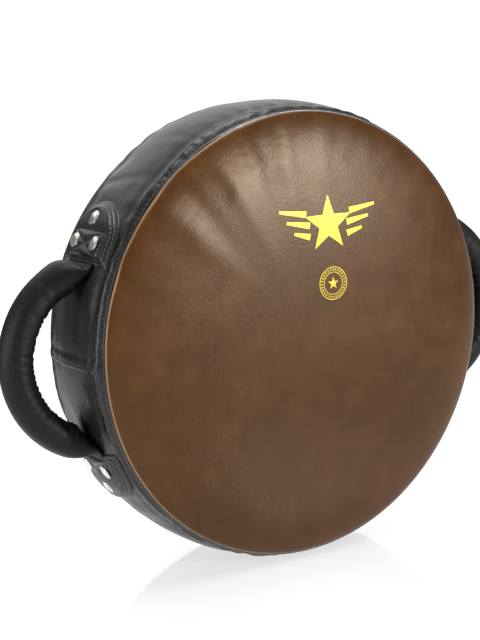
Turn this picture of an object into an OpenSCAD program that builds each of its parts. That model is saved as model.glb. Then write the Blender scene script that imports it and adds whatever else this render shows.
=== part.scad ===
// Round punch and kick shield: a foam disc in sewn leather with a padded handle on each side.
// It stands on a small flat at the bottom of its rim, with its striking face towards -Y.

/* [Pad] */
// Diameter across the edge seams
seam_d = 480; // [400:5:600]
// Width from the front seam to the rear seam
seam_w = 124; // [104:2:180]
// Bulge of the side band past the seams, at the middle of its width
band_bulge = 10; // [6:1:14]
// Height of the striking face's dome past the front seam
front_dome = 18; // [8:1:28]
// Height of the rear face's dome past the rear seam
rear_dome = 12; // [6:1:24]
// Depth that the rim is flattened by where it stands
rest_depth = 4; // [2:0.5:6]

/* [Leather] */
// Thickness of the face and side leather
leather_t = 2.2; // [1.4:0.1:3]
// Width of the welt sewn into each edge seam
welt_w = 3; // [2:0.5:5]
// Height of the welt over the seam
welt_proud = 2; // [1:0.25:3]

/* [Padding] */
// Thickness of the middle foam block
core_t = 64; // [62:1:90]
// Slack between the foam and the leather
foam_slack = 1.6; // [0.2:0.2:3]

/* [Handles] */
// Outer diameter of the padded handle
handle_d = 36; // [32:1:42]
// Radius of the handle's arch, along its middle
arch_r = 93; // [84:1:112]
// Depth of the arch's centre inside the rim
arch_depth = 35; // [30:1:42]
// Angle from the arch's top to each end of the sleeve
sleeve_angle = 58; // [48:1:60]
// Thickness of the sleeve's leather
sleeve_t = 2; // [1.4:0.1:2.6]

/* [Handle straps] */
// Width of the strap inside the handle
strap_w = 26; // [20:1:27]
// Thickness of the strap
strap_t = 3; // [2:0.5:4]
// Radius that the strap bends to where it leaves its patch
bend_r = 10; // [8:1:16]
// Width of the tab on each end of the strap
tab_w = 50; // [46:1:60]
// Length of the tab's parallel sides
tab_side = 31; // [28:1:36]

/* [Handle patches] */
// Width of each patch
patch_w = 94; // [78:1:98]
// Length of the patch's parallel sides
patch_side = 22; // [18:1:30]
// Thickness of the patch's leather
patch_t = 2.4; // [1.6:0.1:3.2]
// Width of the reinforcement behind the side band
backing_w = 58; // [54:1:60]
// Length of the reinforcement's parallel sides
backing_side = 34; // [30:1:40]
// Thickness of the reinforcement
backing_t = 2; // [1:0.25:3]

/* [Rivets] */
// Diameter of the rivet's cap
cap_d = 16; // [12:0.5:18]
// Height of the rim round the cap
cap_h = 2.6; // [2:0.1:4]
// Diameter of the rivet's shank
shank_d = 5; // [4:0.25:6]
// Distance between the two rivets of the pair
pair_spacing = 42; // [38:1:42]
// Distance of the pair from the patch's straight edge
pair_inset = 21; // [16:1:24]
// Distance of the single rivet past the pair
single_past = 26; // [22:1:28]
// Diameter of the burr under the reinforcement
burr_d = 14; // [11:0.5:15]
// Thickness of the burr
burr_t = 1.5; // [1:0.25:2]
// Diameter of the peened end of the shank
peen_d = 7.5; // [7:0.25:9]
// Height of the peened end
peen_h = 1; // [0.5:0.25:1.5]

/* [Clearances] */
// Gap between two stacked pieces of leather
stack_gap = 0.15; // [0.1:0.05:0.4]
// Gap round a strap tab, under its patch
tab_gap = 0.3; // [0.2:0.05:0.5]
// Gap round a shank in its holes
hole_gap = 0.1; // [0.05:0.05:0.3]
// Gap behind a burr and round it in the foam
burr_gap = 0.4; // [0.3:0.1:1]

/* [Hidden] */
$fn = 180;

band_steps = 12;
dome_steps = 18;
bend_steps = 8;
arch_steps = 40;
dome_fullness = 3;
far = 1000;

seam_r = seam_d / 2;
half_w = seam_w / 2;
band_edge = half_w - welt_w;
rim_r = seam_r + band_bulge;
centre_h = rim_r - rest_depth;

// The side band's profile is one arc through both seams: its radius, and its centre from the axis.
curve_r = (half_w * half_w + band_bulge * band_bulge) / (2 * band_bulge);
curve_c = rim_r - curve_r;

// The strap's middle line runs round the arch, turns on bend_r and goes on along the rim.
arch_c = rim_r - arch_depth;
strap_line = rim_r + tab_gap + strap_t / 2;
bend_x = (pow(strap_line + bend_r, 2) - pow(arch_r + bend_r, 2) + arch_c * arch_c) / (2 * arch_c);
bend_y = sqrt(pow(strap_line + bend_r, 2) - bend_x * bend_x);
rim_angle = atan2(bend_y, bend_x);
arch_angle = atan2(bend_y, bend_x - arch_c);

// Places along the rim are lengths from the patch's straight edge. The strap's neck is straight up to it.
edge_setback = 3;
neck_len = 1.5;
tab_lead = 2.5;
edge_angle = rim_angle + along(edge_setback);
patch_len = patch_side + patch_w / 2;
patch_h = 2 * tab_gap + strap_t + patch_t;
rivets = [[pair_inset, pair_spacing / 2], [pair_inset, -pair_spacing / 2], [pair_inset + single_past, 0]];
backing_start = 4;
burr_top = leather_t + stack_gap + backing_t + burr_gap;
pocket_depth = burr_top + burr_t + peen_h + burr_gap;

black = "#26262a";
brown = "#6a4630";
foam_grey = "#c9c6bd";
webbing = "#3a3a3c";
nickel = "#c8c9cc";

// Degrees round the rim for a length along it.
function along(len) = len / rim_r * 180 / PI;

// Distance from the axis to the side band's surface at height z, offset outwards by off.
function band_r(z, off) = curve_c + sqrt(pow(curve_r + off, 2) - z * z);

// Points up the side band's profile from z1 to z2.
function band_line(z1, z2, off) =
    [for (i = [0:band_steps]) let (z = z1 + (z2 - z1) * i / band_steps) [band_r(z, off), z]];

// Points over a dome from its edge to its crown: r^3 + h^2 = 1 on the unit dome.
function dome_line(r, h, z) =
    [for (i = [0:dome_steps]) let (a = 90 * i / dome_steps) [r * pow(cos(a), 2 / dome_fullness), z + h * sin(a)]];

function reversed(list) = [for (i = [len(list) - 1:-1:0]) list[i]];

// The pad is drawn lying on its back, x across, y up and z out of the striking face.
module stand() {
    translate([0, 0, centre_h]) rotate([90, 0, 0]) children();
}

// What lies above the flat that the rim rests on, less a skin of the given thickness.
module above_rest(skin = 0) {
    intersection() {
        children();
        translate([-far / 2, skin - centre_h, -far / 2]) cube(far);
    }
}

module barrel(z1, z2, off, start = 0, angle = 360) {
    rotate_extrude(start = start, angle = angle)
        polygon(concat([[0, z1]], band_line(z1, z2, off), [[0, z2]]));
}

module side_shell(inner, outer) {
    reach = half_w + 1;
    rotate_extrude()
        polygon(concat(band_line(-reach, reach, outer), reversed(band_line(-reach, reach, inner))));
}

// Half of the side band, drilled for the rivets of both handles.
module side_band(low) {
    difference() {
        above_rest() barrel(-band_edge, band_edge, 0, 180 * low, 180);
        above_rest(leather_t) barrel(-half_w, half_w, -leather_t);
        for (left = [0, 1]) mirror([left, 0, 0]) mirror([0, low, 0]) shank_holes(hole_gap);
    }
}

// A leather face, domed by height, on the seam at half_w.
module face_panel(height) {
    rotate_extrude()
        polygon(concat(
            dome_line(seam_r, height, half_w),
            reversed(dome_line(seam_r - leather_t, height - leather_t, half_w))
        ));
}

module welt() {
    root_r = seam_r - leather_t;
    bead_r = seam_r + welt_proud - welt_w / 2;
    rotate_extrude() {
        translate([root_r, band_edge]) square([bead_r - root_r, welt_w]);
        translate([bead_r, band_edge + welt_w / 2]) circle(d = welt_w, $fn = 32);
    }
}

// The foam under a face: it fills the panel's dome and the side band down to the core.
module face_foam(height) {
    skin = leather_t + foam_slack;
    above_rest(skin)
        rotate_extrude()
            polygon(concat(
                [[0, core_t / 2]],
                band_line(core_t / 2, band_edge, -skin),
                [[seam_r - skin, band_edge]],
                dome_line(seam_r - skin, height - skin, half_w)
            ));
}

// A strip with one straight end at x = 0 and one round end, along +x.
module tongue(width, side, start = 0) {
    translate([start, -width / 2]) square([side - start, width]);
    intersection() {
        translate([side, 0]) circle(d = width, $fn = 96);
        translate([side - 1, -width / 2]) square(width);
    }
}

// Drives a flat outline out through the rim; its x = 0 is the patch's straight edge.
module through_rim() {
    rotate([0, 0, edge_angle + along(patch_len / 2)]) rotate([90, 0, 90])
        translate([-patch_len / 2, 0, rim_r / 2]) linear_extrude(rim_r) children();
}

// Puts a piece on the band's surface with its z outwards, at a length and a width on the patch.
module on_band(place) {
    rotate([0, 0, edge_angle + along(place[0])]) translate([curve_c, 0, 0])
        rotate([0, -asin(place[1] / curve_r), 0]) translate([curve_r, 0, 0]) rotate([0, 90, 0]) children();
}

module shank_holes(gap) {
    for (place = rivets) on_band(place)
        translate([0, 0, -2 * pocket_depth]) cylinder(d = shank_d + 2 * gap, h = 4 * pocket_depth, $fn = 48);
}

module patch() {
    difference() {
        intersection() {
            side_shell(stack_gap, patch_h);
            through_rim() tongue(patch_w, patch_side);
        }
        intersection() {
            side_shell(-1, patch_h - patch_t);
            through_rim() tongue(tab_w + 2 * tab_gap, tab_side, -patch_w);
        }
        shank_holes(hole_gap);
    }
}

module backing() {
    difference() {
        intersection() {
            side_shell(-leather_t - stack_gap - backing_t, -leather_t - stack_gap);
            through_rim() tongue(backing_w, backing_side, backing_start);
        }
        shank_holes(hole_gap);
    }
}

// The pocket in the core foam that takes a backing and its burrs.
module backing_pocket() {
    difference() {
        through_rim() tongue(backing_w + 2 * burr_gap, backing_side, backing_start - burr_gap);
        barrel(-half_w, half_w, -pocket_depth);
    }
}

// Three rivets: a cap with a raised rim, a shank, and an end peened over the burr.
module rivet_set() {
    rim_d = 2.2;
    for (place = rivets) on_band(place) {
        translate([0, 0, patch_h + hole_gap]) {
            cylinder(d = cap_d - rim_d, h = cap_h / 2, $fn = 64);
            rotate_extrude($fn = 64) {
                translate([cap_d / 2 - rim_d, 0]) square([rim_d, cap_h - rim_d / 2]);
                translate([cap_d / 2 - rim_d / 2, cap_h - rim_d / 2]) circle(d = rim_d, $fn = 24);
            }
        }
        translate([0, 0, -burr_top - burr_t - peen_h])
            cylinder(d = shank_d, h = burr_top + burr_t + peen_h + patch_h + cap_h / 2, $fn = 48);
        translate([0, 0, -burr_top - burr_t - peen_h]) cylinder(d = peen_d, h = peen_h, $fn = 48);
    }
}

module burr_set() {
    for (place = rivets) on_band(place)
        translate([0, 0, -burr_top - burr_t]) difference() {
            cylinder(d = burr_d, h = burr_t, $fn = 64);
            translate([0, 0, -burr_t]) cylinder(d = shank_d + 2 * hole_gap, h = 3 * burr_t, $fn = 48);
        }
}

// Carries a flat section round the handle's arch.
module round_arch(half_angle) {
    translate([arch_c, 0, 0]) rotate_extrude(start = -half_angle, angle = 2 * half_angle)
        translate([arch_r, 0]) children();
}

module handle_sleeve() {
    round_arch(sleeve_angle) difference() {
        circle(d = handle_d, $fn = 64);
        circle(d = handle_d - 2 * sleeve_t, $fn = 64);
    }
}

module handle_foam() {
    round_arch(sleeve_angle) difference() {
        circle(d = handle_d - 2 * sleeve_t - 2 * stack_gap, $fn = 64);
        square([strap_t + 2 * stack_gap, strap_w + 2 * stack_gap], center = true);
    }
}

// Points round part of a circle, without the first one, which ends the stretch before it.
function ring_line(x, y, r, from, to, steps) =
    [for (i = [1:steps]) let (a = from + (to - from) * i / steps) [x + r * cos(a), y + r * sin(a)]];

// One side of the strap seen along the pad's axis: rim, bend, arch, bend, rim.
function strap_side(off) = let (neck = rim_angle + along(neck_len)) concat(
    ring_line(0, 0, strap_line + off, 0, neck, 1),
    ring_line(0, 0, strap_line + off, neck, rim_angle, 1),
    ring_line(bend_x, bend_y, bend_r - off, 180 + rim_angle, 180 + arch_angle, bend_steps),
    ring_line(arch_c, 0, arch_r + off, arch_angle, -arch_angle, arch_steps),
    ring_line(bend_x, -bend_y, bend_r - off, 180 - arch_angle, 180 - rim_angle, bend_steps),
    ring_line(0, 0, strap_line + off, -rim_angle, -neck, 1)
);

module strap_tab() {
    difference() {
        intersection() {
            side_shell(tab_gap, tab_gap + strap_t);
            through_rim() tongue(tab_w, tab_side, -tab_lead);
        }
        shank_holes(tab_gap);
    }
}

module handle_strap() {
    linear_extrude(strap_w, center = true)
        polygon(concat(strap_side(strap_t / 2), reversed(strap_side(-strap_t / 2))));
    strap_tab();
    mirror([0, 1, 0]) strap_tab();
}

module front_panel() { color(brown) stand() face_panel(front_dome); }
module rear_panel() { color(brown) stand() mirror([0, 0, 1]) face_panel(rear_dome); }
module upper_side_band() { color(black) stand() side_band(0); }
module lower_side_band() { color(black) stand() side_band(1); }
module front_welt() { color(black) stand() welt(); }
module rear_welt() { color(black) stand() mirror([0, 0, 1]) welt(); }
module strike_foam() { color(foam_grey) stand() face_foam(front_dome); }
module rear_foam() { color(foam_grey) stand() mirror([0, 0, 1]) face_foam(rear_dome); }

module core_foam() {
    skin = leather_t + foam_slack;
    color(foam_grey) stand() difference() {
        above_rest(skin) barrel(-core_t / 2, core_t / 2, -skin);
        for (side = [0, 1], end = [0, 1]) mirror([side, 0, 0]) mirror([0, end, 0]) backing_pocket();
    }
}

// Each handle end has the same four pieces: left and low ones are mirror images.
module at_end(left, low) { stand() mirror([left, 0, 0]) mirror([0, low, 0]) children(); }

module left_upper_patch() { color(black) at_end(1, 0) patch(); }
module left_lower_patch() { color(black) at_end(1, 1) patch(); }
module right_upper_patch() { color(black) at_end(0, 0) patch(); }
module right_lower_patch() { color(black) at_end(0, 1) patch(); }
module left_upper_backing() { color(webbing) at_end(1, 0) backing(); }
module left_lower_backing() { color(webbing) at_end(1, 1) backing(); }
module right_upper_backing() { color(webbing) at_end(0, 0) backing(); }
module right_lower_backing() { color(webbing) at_end(0, 1) backing(); }
module left_upper_rivets() { color(nickel) at_end(1, 0) rivet_set(); }
module left_lower_rivets() { color(nickel) at_end(1, 1) rivet_set(); }
module right_upper_rivets() { color(nickel) at_end(0, 0) rivet_set(); }
module right_lower_rivets() { color(nickel) at_end(0, 1) rivet_set(); }
module left_upper_burrs() { color(nickel) at_end(1, 0) burr_set(); }
module left_lower_burrs() { color(nickel) at_end(1, 1) burr_set(); }
module right_upper_burrs() { color(nickel) at_end(0, 0) burr_set(); }
module right_lower_burrs() { color(nickel) at_end(0, 1) burr_set(); }
module left_handle_sleeve() { color(black) at_end(1, 0) handle_sleeve(); }
module left_handle_foam() { color(foam_grey) at_end(1, 0) handle_foam(); }
module left_handle_strap() { color(webbing) at_end(1, 0) handle_strap(); }
module right_handle_sleeve() { color(black) at_end(0, 0) handle_sleeve(); }
module right_handle_foam() { color(foam_grey) at_end(0, 0) handle_foam(); }
module right_handle_strap() { color(webbing) at_end(0, 0) handle_strap(); }

front_panel();
rear_panel();
upper_side_band();
lower_side_band();
front_welt();
rear_welt();
strike_foam();
core_foam();
rear_foam();
left_upper_patch();
left_lower_patch();
right_upper_patch();
right_lower_patch();
left_upper_backing();
left_lower_backing();
right_upper_backing();
right_lower_backing();
left_upper_rivets();
left_lower_rivets();
right_upper_rivets();
right_lower_rivets();
left_upper_burrs();
left_lower_burrs();
right_upper_burrs();
right_lower_burrs();
left_handle_sleeve();
left_handle_foam();
left_handle_strap();
right_handle_sleeve();
right_handle_foam();
right_handle_strap();
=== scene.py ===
import math

import bpy
import numpy as np
from mathutils import Matrix, Vector


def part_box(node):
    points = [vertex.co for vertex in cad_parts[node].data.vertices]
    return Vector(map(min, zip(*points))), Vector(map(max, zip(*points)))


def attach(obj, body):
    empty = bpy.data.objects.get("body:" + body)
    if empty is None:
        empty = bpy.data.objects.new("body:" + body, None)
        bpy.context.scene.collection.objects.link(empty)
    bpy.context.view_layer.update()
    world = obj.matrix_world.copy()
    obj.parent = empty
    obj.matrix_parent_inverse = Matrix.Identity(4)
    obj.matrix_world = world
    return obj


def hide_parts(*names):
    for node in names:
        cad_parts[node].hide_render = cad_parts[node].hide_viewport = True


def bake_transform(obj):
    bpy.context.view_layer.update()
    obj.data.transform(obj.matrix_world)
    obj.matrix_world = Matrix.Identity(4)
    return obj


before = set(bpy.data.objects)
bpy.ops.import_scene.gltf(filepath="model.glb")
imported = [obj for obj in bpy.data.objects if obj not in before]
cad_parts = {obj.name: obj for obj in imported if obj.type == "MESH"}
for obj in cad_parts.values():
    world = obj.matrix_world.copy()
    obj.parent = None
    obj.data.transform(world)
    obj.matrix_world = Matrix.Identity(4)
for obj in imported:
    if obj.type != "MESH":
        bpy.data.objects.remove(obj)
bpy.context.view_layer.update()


# ---------------------------------------------------------------- studio
# A pale sweep of polished board under the pad, three soft boxes and a white room.
# The camera stands to the left of the striking face and a little above its middle.

MM = 0.001
PAD_R = 240 * MM                     # seam circle of the pad
CENTRE = np.array([0.0, 0.0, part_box("front_panel")[0][2] + PAD_R])
HALF_W = -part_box("front_welt")[0][1]  # the front seam lies at y = -HALF_W


def linear(hex_colour):
    """sRGB hex to linear RGBA: the standard sRGB curve, channel by channel."""
    c = np.array([int(hex_colour[i:i + 2], 16) for i in (1, 3, 5)]) / 255
    c = np.where(c <= 0.04045, c / 12.92, ((c + 0.055) / 1.055) ** 2.4)
    return (*c.tolist(), 1.0)


def node(mat, kind, links=(), **settings):
    """Adds one shader node. A setting names a property or, failing that, an input socket;
    a link is (input name or index, output socket)."""
    n = mat.node_tree.nodes.new(kind)
    for key, value in settings.items():
        if hasattr(n, key):
            setattr(n, key, value)
        else:
            n.inputs[key.replace("_", " ")].default_value = value
    for key, out in links:
        mat.node_tree.links.new(n.inputs[key], out)
    return n


def new_material(name):
    """A material with no nodes yet. Its output is the last node that is added."""
    mat = bpy.data.materials.new(name)
    mat.use_nodes = True
    mat.node_tree.nodes.clear()
    return mat


def mesh_piece(name, verts, faces, mat, smooth=True):
    """A mesh object at the origin from an (n, 3) array in metres and a list or array of faces."""
    me = bpy.data.meshes.new(name)
    me.from_pydata(verts.tolist(), [], faces if isinstance(faces, list) else faces.tolist())
    me.validate()
    me.polygons.foreach_set("use_smooth", [smooth] * len(me.polygons))
    ob = bpy.data.objects.new(name, me)
    bpy.context.collection.objects.link(ob)
    me.materials.append(mat)
    return ob


# The board: polished and lit from behind, more so where it curves up, so that shadows stay pale
# and the pad mirrors faintly.
board = new_material("white_acrylic_board")
board_place = node(board, "ShaderNodeTexCoord").outputs["Object"]
board_height = node(board, "ShaderNodeSeparateXYZ", [("Vector", board_place)]).outputs["Z"]
board_glow = node(board, "ShaderNodeMapRange", [("Value", board_height)], From_Max=0.6, To_Min=0.65, To_Max=1.0)
board_bsdf = node(
    board, "ShaderNodeBsdfPrincipled", [("Emission Strength", board_glow.outputs[0])],
    Base_Color=linear("#b0b0b0"), Roughness=0.1, Emission_Color=(1, 1, 1, 1), Specular_IOR_Level=0.8)
node(board, "ShaderNodeOutputMaterial", [("Surface", board_bsdf.outputs[0])])

FLOOR, WALL, CURVE = 6.0, 3.4, 0.8    # the floor's half width, the wall behind, and the curve between
sweep_yz = [(-FLOOR, 0.0)]
for a in np.linspace(0, math.pi / 2, 12):
    sweep_yz.append((WALL - CURVE + CURVE * math.sin(a), CURVE - CURVE * math.cos(a)))
sweep_yz.append((WALL, FLOOR))
sweep = np.array([[x, y, z] for y, z in sweep_yz for x in (-FLOOR, FLOOR)])
sweep_faces = [[2 * i, 2 * i + 1, 2 * i + 3, 2 * i + 2] for i in range(len(sweep_yz) - 1)]
floor = mesh_piece("studio_floor", sweep, sweep_faces, board)


# Grey flags to the left of the pad, and a low black one before it, keep the white room and board
# out of the side band, the handle and the face. No view shows them.
def flag(name, line, height, tone):
    """A card that stands on a line of (x, y) points, hidden from every view but not from reflections."""
    paint = new_material(name + "_paint")
    matt = node(paint, "ShaderNodeBsdfDiffuse", Color=(tone, tone, tone, 1))
    node(paint, "ShaderNodeOutputMaterial", [("Surface", matt.outputs[0])])
    verts = np.array([[x, y, z] for x, y in line for z in (0.02, height)])
    faces = [[2 * i, 2 * i + 2, 2 * i + 3, 2 * i + 1] for i in range(len(line) - 1)]
    card = mesh_piece(name, verts, faces, paint)
    card.visible_camera = False


flag("left_flag", [(-0.95, -2.6), (-1.35, -1.7), (-1.35, -0.2), (-0.9, 0.25), (0.0, 1.75)], 0.85, 0.2)
flag("front_flag", [(-0.1, -1.48), (1.39, -0.52)], 0.27, 0.01)

world = bpy.data.worlds.new("white_room")
bpy.context.scene.world = world
world.use_nodes = True
backdrop = world.node_tree.nodes["Background"]
backdrop.inputs["Color"].default_value = (1, 1, 1, 1)
backdrop.inputs["Strength"].default_value = 0.26


def soft_box(name, place, aim, width, height, watts):
    """A rectangular area light at place, turned towards aim."""
    data = bpy.data.lights.new(name, "AREA")
    data.shape, data.size, data.size_y, data.energy = "RECTANGLE", width, height, watts
    lamp = bpy.data.objects.new(name, data)
    bpy.context.collection.objects.link(lamp)
    lamp.location = place
    lamp.rotation_euler = (Vector(aim) - Vector(place)).to_track_quat("-Z", "Y").to_euler()


soft_box("front_box", (1.38, -2.32, 0.62), CENTRE, 0.3, 0.62, 46)
soft_box("top_box", (0.1, -0.1, 2.3), CENTRE, 1.5, 1.1, 34)
soft_box("left_strip", (-1.0, 0.0, 0.4), CENTRE, 0.08, 0.6, 3)

AZIMUTH, ELEVATION = math.radians(-32.3), math.radians(9.73)
DISTANCE = 6.0 * PAD_R
ROLL = math.radians(2.2)              # the pad stands upright, so the camera is turned about its axis


def rolled(v):
    """Turns a vector about the pad's axis by ROLL."""
    c, s = math.cos(ROLL), math.sin(ROLL)
    return np.array([v[0] * c + v[2] * s, v[1], v[2] * c - v[0] * s])


to_eye = np.array([
    math.sin(AZIMUTH) * math.cos(ELEVATION), -math.cos(AZIMUTH) * math.cos(ELEVATION), math.sin(ELEVATION)])
sight_right = np.array([math.cos(AZIMUTH), math.sin(AZIMUTH), 0.0])
target = CENTRE + rolled(np.array([-0.344 * PAD_R, -HALF_W, 0.105 * PAD_R]))
eye = target + DISTANCE * rolled(to_eye)
cam_data = bpy.data.cameras.new("camera")
cam_data.sensor_width, cam_data.lens = 36.0, 77.8
camera = bpy.data.objects.new("camera", cam_data)
bpy.context.collection.objects.link(camera)
sight_axes = [rolled(sight_right), rolled(np.cross(to_eye, sight_right)), rolled(to_eye)]
sight_rows = [[*(axis[k] for axis in sight_axes), eye[k]] for k in range(3)]
camera.matrix_world = Matrix([*sight_rows, [0, 0, 0, 1]])
bpy.context.scene.camera = camera
bpy.context.scene.view_settings.view_transform = "Standard"


# ---------------------------------------------------------------- domed faces
# The striking face and the rear face: one disc of waxed brown cowhide each, cut larger than its
# seam circle and eased in, so it stands up in a dome over the foam and pulls into short folds at
# the seam. The hide is held at the seam and blown up from inside, as the foam does to it.

FACE_CELLS = 112          # cells across the disc
HIDE = 1.6 * MM
PULLED = math.radians(125)            # the hide was pulled hardest here


def disc_grid(cells):
    """A square grid pushed out to a unit disc: x = u sqrt(1 - v2/2), z = v sqrt(1 - u2/2)."""
    u, v = np.meshgrid(np.linspace(-1, 1, cells + 1), np.linspace(-1, 1, cells + 1), indexing="ij")
    return u * np.sqrt(1 - v * v / 2), v * np.sqrt(1 - u * u / 2)


def grid_faces(rows, cols, wrap_rows=False, wrap_cols=False):
    """Quads over a rows x cols array of points, joined round where a direction wraps."""
    i = np.arange(rows if wrap_rows else rows - 1)
    j = np.arange(cols if wrap_cols else cols - 1)
    i, j = (a.ravel() for a in np.meshgrid(i, j, indexing="ij"))
    i1, j1 = (i + 1) % rows, (j + 1) % cols
    return np.stack([i * cols + j, i * cols + j1, i1 * cols + j1, i1 * cols + j], axis=1)


def dome_point(rho, angle, height, sign):
    """Out along the dome by rho (0 crown, 1 seam): with a = 90 (1 - rho^1.5) degrees, the radius is
    R cos(a)^(2/3) and the rise is height sin(a)."""
    a = np.pi / 2 * (1 - rho ** 1.5)
    r = PAD_R * np.cos(a) ** (2 / 3)
    depth = sign * (HALF_W + height * np.sin(a))
    return np.stack([r * np.cos(angle), depth, CENTRE[2] + r * np.sin(angle)], axis=-1)


def blown(name, verts, faces, held, growth, pressure, stiffness, frames=20):
    """Cloth: the sheet wants to be larger by growth, is held where held is true and is pushed out
    along its normals by pressure. Returns the points it comes to rest at."""
    ob = mesh_piece(name, verts, faces, hide_brown)
    ob.vertex_groups.new(name="held").add(np.nonzero(held)[0].tolist(), 1.0, "REPLACE")
    cloth = ob.modifiers.new("cloth", "CLOTH")
    s = cloth.settings
    s.quality, s.mass, s.vertex_group_mass, s.pin_stiffness = 6, 0.3, "held", 1.0
    s.tension_stiffness = s.compression_stiffness = 15
    s.shear_stiffness, s.bending_stiffness = 8, stiffness
    s.use_pressure, s.uniform_pressure_force, s.shrink_min = True, pressure, -growth
    s.effector_weights.gravity = 0
    cloth.point_cache.frame_start, cloth.point_cache.frame_end = 1, frames
    scene = bpy.context.scene
    for f in range(1, frames + 1):
        scene.frame_set(f)
    shown = ob.evaluated_get(bpy.context.evaluated_depsgraph_get())
    out = np.empty(len(verts) * 3)
    shown.data.vertices.foreach_get("co", out)
    bpy.data.objects.remove(ob)
    scene.frame_set(1)
    return out.reshape(-1, 3)


def hide_material(name, dark, mid, light, wax, bump, roughness, **settings):
    """Waxed pull-up hide: smoke-like tone drift where oil has moved in the skin, and pebble grain
    1.4 mm across and pores 3.5 mm apart, both drawn a little coarse so that they show, under a
    satin wax coat. More settings go to its shader."""
    mat = new_material(name)
    place = node(mat, "ShaderNodeTexCoord").outputs["Object"]
    drift = node(
        mat, "ShaderNodeTexNoise", [("Vector", place)], Scale=9.0, Detail=5.0, Roughness=0.55, Distortion=0.6)
    cloud = node(mat, "ShaderNodeTexNoise", [("Vector", place)], Scale=38.0, Detail=4.0, Roughness=0.6)
    mix = node(mat, "ShaderNodeMix", [(2, drift.outputs["Fac"]), (3, cloud.outputs["Fac"])], Factor=0.42)
    ramp = node(mat, "ShaderNodeValToRGB", [("Fac", mix.outputs[0])])
    stops = ramp.color_ramp.elements
    stops[0].position, stops[0].color = 0.3, linear(dark)
    stops[1].position, stops[1].color = 0.72, linear(light)
    stops.new(0.51).color = linear(mid)
    grain = node(mat, "ShaderNodeTexVoronoi", [("Vector", place)], Scale=1 / (1.4 * MM), feature="SMOOTH_F1")
    pores = node(mat, "ShaderNodeTexNoise", [("Vector", place)], Scale=1 / (3.5 * MM), Detail=3.0)
    pebbled = node(
        mat, "ShaderNodeBump", [("Height", grain.outputs["Distance"])], Strength=bump, Distance=0.4 * MM)
    pitted = node(
        mat, "ShaderNodeBump", [("Height", pores.outputs["Fac"]), ("Normal", pebbled.outputs[0])],
        Strength=bump, Distance=0.8 * MM)
    rough = node(
        mat, "ShaderNodeMapRange", [("Value", cloud.outputs["Fac"])],
        To_Min=roughness - 0.07, To_Max=roughness + 0.07)
    bsdf = node(
        mat, "ShaderNodeBsdfPrincipled",
        [("Base Color", ramp.outputs["Color"]), ("Normal", pitted.outputs[0]), ("Roughness", rough.outputs[0])],
        IOR=1.48, Coat_Weight=wax, Coat_Roughness=0.22, **settings)
    node(mat, "ShaderNodeOutputMaterial", [("Surface", bsdf.outputs[0])])
    return mat


def painted(mat, mask, colour):
    """Lays a colour over the base colour of a hide where mask, a socket, is 1."""
    base = next(n for n in mat.node_tree.nodes if n.type == "BSDF_PRINCIPLED").inputs["Base Color"]
    mix = node(mat, "ShaderNodeMix", [(0, mask), (6, base.links[0].from_socket)], data_type="RGBA")
    mix.inputs[7].default_value = linear(colour)
    mat.node_tree.links.new(base, mix.outputs[2])


hide_brown = hide_material(
    "waxed_brown_cowhide", "#41270e", "#503013", "#623d1b", 0.0, 0.15, 0.34,
    Specular_IOR_Level=0.4, Specular_Tint=linear("#ffe9cf"))

# Handling has rubbed the wax off the turned edge beside each seam, in a paler line 1 mm wide. The line is
# also a painted highlight of the edge, and it is made strongest on the left as painted highlight from that
# side.
hide_place = node(hide_brown, "ShaderNodeTexCoord").outputs["Object"]
from_axis = node(
    hide_brown, "ShaderNodeMapping", [("Vector", hide_place)], Location=(0, 0, -CENTRE[2]), Scale=(1, 0, 1))
radius = node(hide_brown, "ShaderNodeVectorMath", [(0, from_axis.outputs[0])], operation="LENGTH")
rubbed_and_lit_edge = node(
    hide_brown, "ShaderNodeMapRange", [("Value", radius.outputs["Value"])],
    From_Min=PAD_R - 1.6 * MM, From_Max=PAD_R - 0.6 * MM, To_Max=0.75)
across = node(hide_brown, "ShaderNodeSeparateXYZ", [("Vector", from_axis.outputs[0])])
# painted highlight: the pale edge line is strongest on the left and fades towards the right
highlit_left_side = node(
    hide_brown, "ShaderNodeMapRange", [("Value", across.outputs["X"])],
    From_Min=-PAD_R, From_Max=0.2 * PAD_R, To_Min=1.0, To_Max=0.15)
rub_and_highlight = node(
    hide_brown, "ShaderNodeMath", [(0, rubbed_and_lit_edge.outputs[0]), (1, highlit_left_side.outputs[0])], operation="MULTIPLY")
# the pale edge colour: partly rubbed wax, partly painted highlight
painted(hide_brown, rub_and_highlight.outputs[0], "#b38f6c")


def turned(angle, middle):
    """The angle from middle to angle, the short way round."""
    return np.angle(np.exp(1j * (angle - middle)))


def rim_folds(angle, rho, seed, count, depth):
    """Short folds that run in from the seam: Gaussian valleys round the rim, each with its own place
    and width, that fade out within a tenth of the radius."""
    draw = np.random.default_rng(seed)
    ranges = ((0, 2 * np.pi), (0.012, 0.04), (0.3, 1))
    places, widths, sizes = (draw.uniform(low, high, count) for low, high in ranges)
    out = np.zeros_like(angle)
    for at, width, size in zip(places, widths, sizes):
        fade = np.exp(-((1 - rho) / (0.03 + 1.4 * width)) ** 1.4)
        out -= size * np.exp(-(turned(angle, at) / width) ** 2) * fade
    return depth * out


# Place and width in degrees, height against the highest, and reach as a part of the radius.
PULL_FOLDS = [
    (84, 3.0, 0.5, 0.30), (98, 3.4, 0.9, 0.42), (109, 2.6, -0.7, 0.36), (118, 3.6, 1.0, 0.46),
    (131, 3.2, -0.8, 0.40), (139, 3.8, 1.1, 0.42), (152, 3.0, -0.6, 0.30), (160, 3.2, 0.7, 0.26)]


def pull_folds(angle, rho):
    """Broad soft folds that fan in from the seam where the hide was pulled hardest: Gaussian ridges
    and valleys round the rim, each a few degrees wide, that fade over the outer half of the radius."""
    out = np.zeros_like(angle)
    for at, width, size, reach in PULL_FOLDS:
        gap = turned(angle, math.radians(at))
        out += size * np.exp(-(gap / math.radians(width)) ** 2) * np.exp(-((1 - rho) / reach) ** 2)
    return 1.7 * MM * out


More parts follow.
